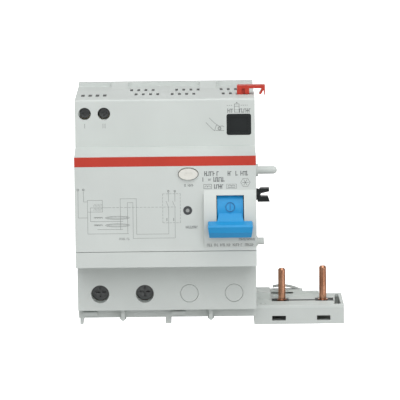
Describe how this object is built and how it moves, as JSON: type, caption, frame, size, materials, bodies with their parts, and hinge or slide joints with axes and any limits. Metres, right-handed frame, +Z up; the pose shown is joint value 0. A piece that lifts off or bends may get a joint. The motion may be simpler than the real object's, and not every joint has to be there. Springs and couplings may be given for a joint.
{
  "type": "residual current device",
  "caption": "Modular residual current block with toggle, test button, terminals and a connecting bar with copper pins that plugs into the circuit breaker beside it.",
  "frame": {"origin": "centre of the face that rests on the DIN rail, halfway across the body", "axes": "+X to the right towards the breaker, -Y out of the front, +Z up; +Y points into the rail"},
  "size_m": [0.1047, 0.0738, 0.0946],
  "materials": {
    "shell": "fine satin moulded",
    "red_plastic": "satin",
    "blue_plastic": "satin",
    "black_plastic": "satin",
    "button_white": "satin",
    "dark_plastic": "matte",
    "steel": "zinc plated",
    "dark_steel": "blackened",
    "cage_steel": "yellow passivated",
    "copper": "bare copper",
    "board": "solder mask",
    "component_dark": "matte",
    "component_blue": "matte",
    "yellow_tape": "tape",
    "core": "epoxy coated",
    "winding": "enamelled wire",
    "wire_blue": "insulation",
    "wire_brown": "insulation",
    "wire_yellow": "insulation",
    "relay_can": "satin",
    "ivory_plastic": "satin",
    "clear_lens": "polished"
  },
  "bodies": {
    "housing": {"rear_housing": "shell", "front_cover": "shell", "lower_strip": "shell", "red_band": "red_plastic", "release_window": "black_plastic", "blank_plugs": "shell", "toggle_axle": "steel", "toggle_spring": "steel", "mechanism_frame": "steel", "trip_relay": "relay_can", "relay_armature_cap": "dark_plastic", "test_button_spring": "steel", "button_seat": "dark_plastic", "test_contact": "copper", "test_resistor": "component_blue", "led_ring": "dark_plastic", "led_light_pipe": "clear_lens", "led": "clear_lens", "circuit_board": "board", "chips": "component_dark", "capacitors": "component_blue", "board_transformer": "yellow_tape", "varistor": "component_blue", "toroid_cores": "core", "toroid_coils": "winding", "toroid_holder": "dark_plastic", "supply_wires": "wire_blue", "load_wires": "wire_brown", "main_contacts": "copper", "aux_contacts": "copper", "aux_leads": "wire_yellow", "rail_latch_springs": "steel", "upper_guide_pin": "shell", "lower_guide_pin": "shell", "housing_screws": "steel", "bar_body": "shell", "bar_cover": "shell", "pin_seal": "black_plastic", "bar_finger": "shell", "copper_pins": "copper", "front_busbar": "copper", "rear_busbar": "copper"},
    "toggle": {"toggle": "blue_plastic"},
    "trip_shaft": {"trip_shaft": "black_plastic"},
    "relay_plunger": {"relay_plunger": "ivory_plastic"},
    "test_button": {"test_button": "button_white"},
    "main_screw_left": {"main_screw_left": "dark_steel"},
    "main_screw_right": {"main_screw_right": "dark_steel"},
    "main_cage_left": {"main_cage_left": "cage_steel"},
    "main_cage_right": {"main_cage_right": "cage_steel"},
    "aux_screw_left": {"aux_screw_left": "dark_steel"},
    "aux_screw_right": {"aux_screw_right": "dark_steel"},
    "aux_cage_left": {"aux_cage_left": "cage_steel"},
    "aux_cage_right": {"aux_cage_right": "cage_steel"},
    "lock_clip": {"lock_clip": "red_plastic"},
    "rail_latch_left": {"rail_latch_left": "dark_plastic"},
    "rail_latch_right": {"rail_latch_right": "dark_plastic"}
  },
  "joints": [
    {"name": "toggle_turn", "type": "hinge", "parent": "housing", "child": "toggle", "pos_m": [0.0249, -0.05, -0.002], "axis": [-1, 0, 0], "range_deg": [0, 33]},
    {"name": "trip_shaft_turn", "type": "hinge", "parent": "housing", "child": "trip_shaft", "pos_m": [0.03, -0.03, 0.0012], "axis": [1, 0, 0], "range_deg": [0, 13]},
    {"name": "relay_plunger_slide", "type": "slide", "parent": "housing", "child": "relay_plunger", "axis": [0, 1, 0], "range_m": [0, 0.0014]},
    {"name": "test_button_press", "type": "slide", "parent": "housing", "child": "test_button", "axis": [0, 1, 0], "range_m": [0, 0.002], "stiffness_N_per_m": 600, "deforming": ["test_button_spring"]},
    {"name": "lock_clip_slide", "type": "slide", "parent": "housing", "child": "lock_clip", "axis": [1, 0, 0], "range_m": [0, 0.0024]},
    {"name": "main_screw_left_turn", "type": "hinge", "parent": "housing", "child": "main_screw_left", "pos_m": [-0.02625, -0.033, -0.0357], "axis": [0, 1, 0], "range_deg": [0, 2025]},
    {"name": "main_cage_left_lift", "type": "slide", "parent": "housing", "child": "main_cage_left", "axis": [0, -1, 0], "range_m": [0, 0.0045]},
    {"name": "main_screw_right_turn", "type": "hinge", "parent": "housing", "child": "main_screw_right", "pos_m": [-0.00875, -0.033, -0.0357], "axis": [0, 1, 0], "range_deg": [0, 2025]},
    {"name": "main_cage_right_lift", "type": "slide", "parent": "housing", "child": "main_cage_right", "axis": [0, -1, 0], "range_m": [0, 0.0045]},
    {"name": "aux_screw_left_turn", "type": "hinge", "parent": "housing", "child": "aux_screw_left", "pos_m": [-0.0312, -0.0375, 0.0355], "axis": [0, 1, 0], "range_deg": [0, 1440]},
    {"name": "aux_cage_left_lift", "type": "slide", "parent": "housing", "child": "aux_cage_left", "axis": [0, -1, 0], "range_m": [0, 0.0018]},
    {"name": "aux_screw_right_turn", "type": "hinge", "parent": "housing", "child": "aux_screw_right", "pos_m": [-0.0237, -0.0375, 0.0355], "axis": [0, 1, 0], "range_deg": [0, 1440]},
    {"name": "aux_cage_right_lift", "type": "slide", "parent": "housing", "child": "aux_cage_right", "axis": [0, -1, 0], "range_m": [0, 0.0018]},
    {"name": "rail_latch_left_pull", "type": "slide", "parent": "housing", "child": "rail_latch_left", "axis": [0, 0, -1], "range_m": [0, 0.0045], "stiffness_N_per_m": 500, "deforming": ["rail_latch_springs"]},
    {"name": "rail_latch_right_pull", "type": "slide", "parent": "housing", "child": "rail_latch_right", "axis": [0, 0, -1], "range_m": [0, 0.0045], "stiffness_N_per_m": 500, "deforming": ["rail_latch_springs"]}
  ],
  "couplings": [
    {"joint": "trip_shaft_turn", "follows": "toggle_turn", "ratio": 0.39384},
    {"joint": "relay_plunger_slide", "follows": "toggle_turn", "m_per_rad": 0.00242},
    {"joint": "main_screw_left_turn", "follows": "main_cage_left_lift", "rad_per_m": 7853.9},
    {"joint": "aux_screw_left_turn", "follows": "aux_cage_left_lift", "rad_per_m": 13962},
    {"joint": "main_screw_right_turn", "follows": "main_cage_right_lift", "rad_per_m": 7853.9},
    {"joint": "aux_screw_right_turn", "follows": "aux_cage_right_lift", "rad_per_m": 13962}
  ]
}
